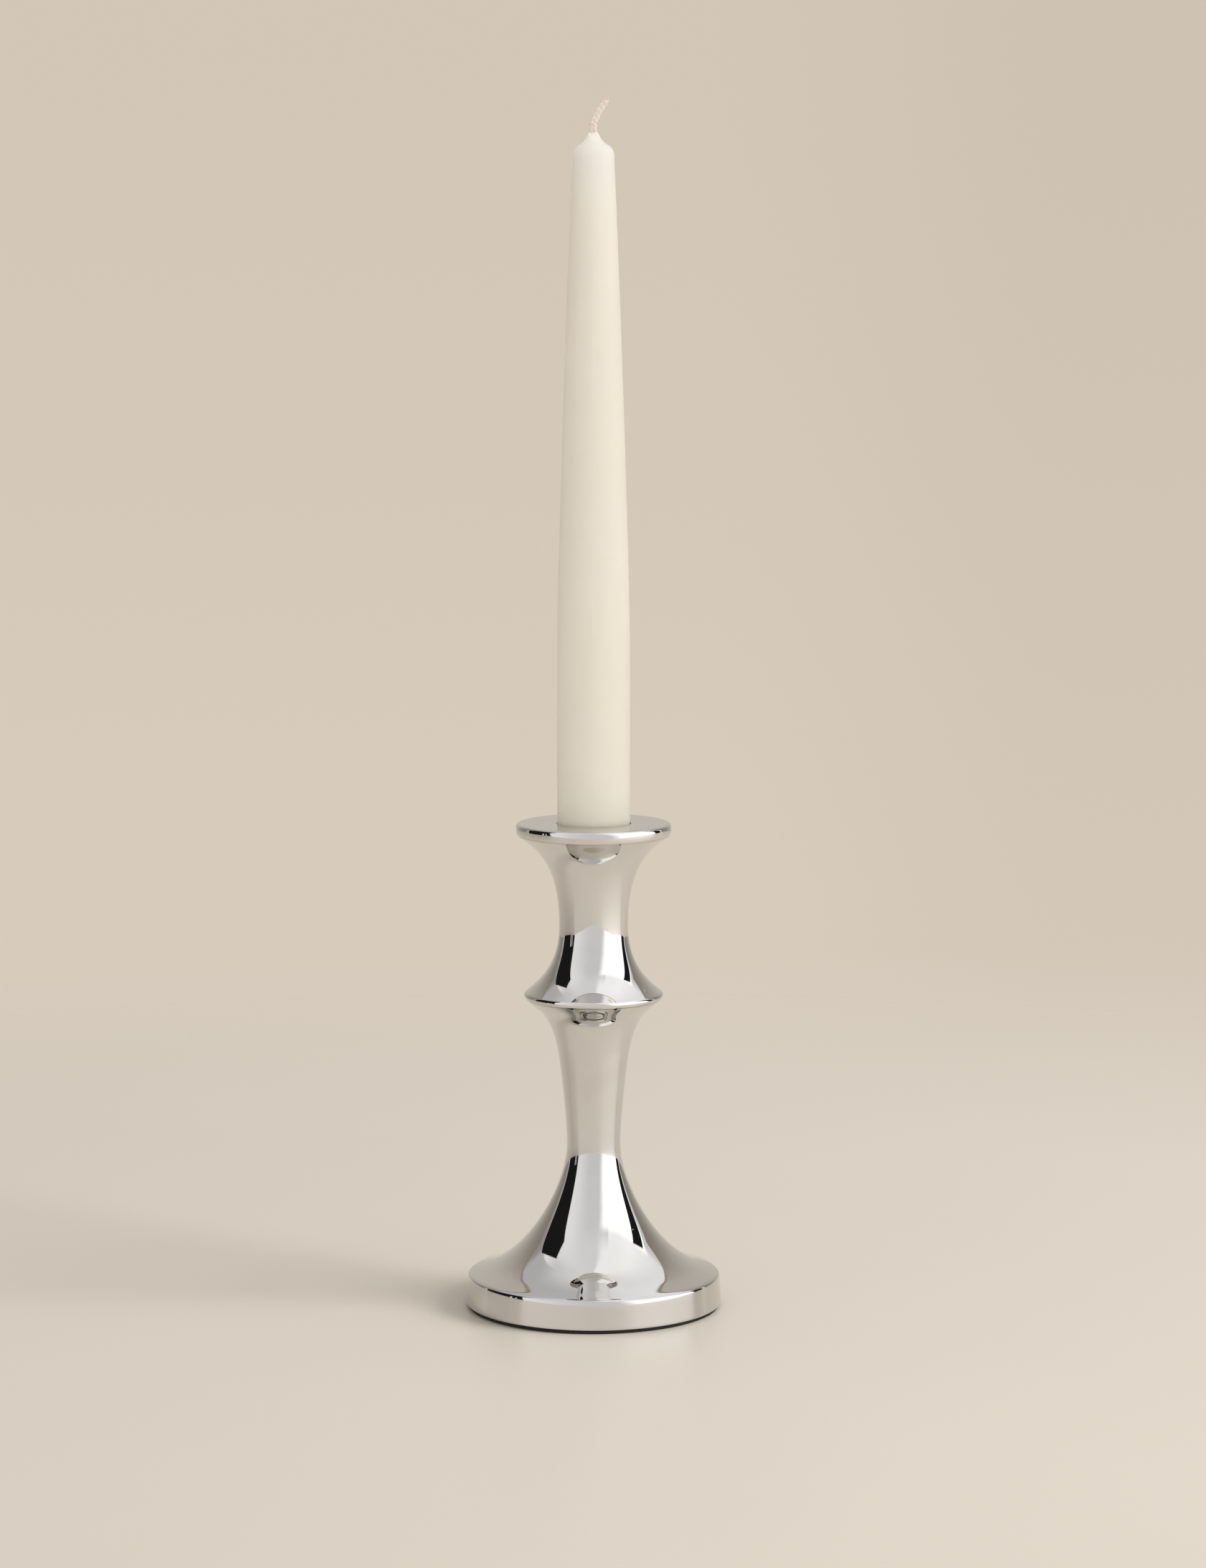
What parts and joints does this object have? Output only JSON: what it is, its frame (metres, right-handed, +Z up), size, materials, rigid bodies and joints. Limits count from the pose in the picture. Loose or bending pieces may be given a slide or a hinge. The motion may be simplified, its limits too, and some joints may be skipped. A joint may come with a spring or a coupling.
{
  "type": "candlestick",
  "caption": "Turned, bright-plated candlestick with a bell foot, a waisted stem, a knop and a flat drip pan, holding a tapered dinner candle that lifts out.",
  "frame": {"origin": "centre of the underside of the foot pad, on the axis of the turning", "axes": "+Z up along the axis from foot to wick; +X towards the side to which the wick's tip leans; the front is seen looking along +Y"},
  "size_m": [0.0782, 0.0782, 0.3657],
  "materials": {
    "ivory_wax": "smooth ivory wax with a soft sheen",
    "cotton_wick": "braided white cotton",
    "pan_plating": "bright silver-coloured plate over cast aluminium, hand polished to a mirror",
    "stem_plating": "bright silver-coloured plate over cast aluminium, hand polished to a mirror",
    "foot_plating": "bright silver-coloured plate over cast aluminium, hand polished to a mirror",
    "bolt_steel": "zinc-plated steel",
    "washer_steel": "zinc-plated steel",
    "spring_steel": "dark spring steel",
    "nut_steel": "zinc-plated steel",
    "cast_iron_weight": "raw grey cast iron",
    "fibreboard": "brown hardboard",
    "black_foam": "matt black foam sheet"
  },
  "bodies": {
    "candlestick": {"drip_pan": "pan_plating", "upper_stem": "stem_plating", "bell_foot": "foot_plating", "tie_bolt": "bolt_steel", "head_washer": "washer_steel", "ballast_weight": "cast_iron_weight", "plate_washer": "washer_steel", "spring_washer": "spring_steel", "clamp_nut": "nut_steel", "foot_cover": "fibreboard", "foot_pad": "black_foam"},
    "candle": {"candle_wax": "ivory_wax", "candle_wick": "cotton_wick"}
  },
  "joints": [
    {"name": "candle_lift", "type": "slide", "parent": "candlestick", "child": "candle", "axis": [0, 0, 1], "range_m": [0, 0.04]}
  ]
}
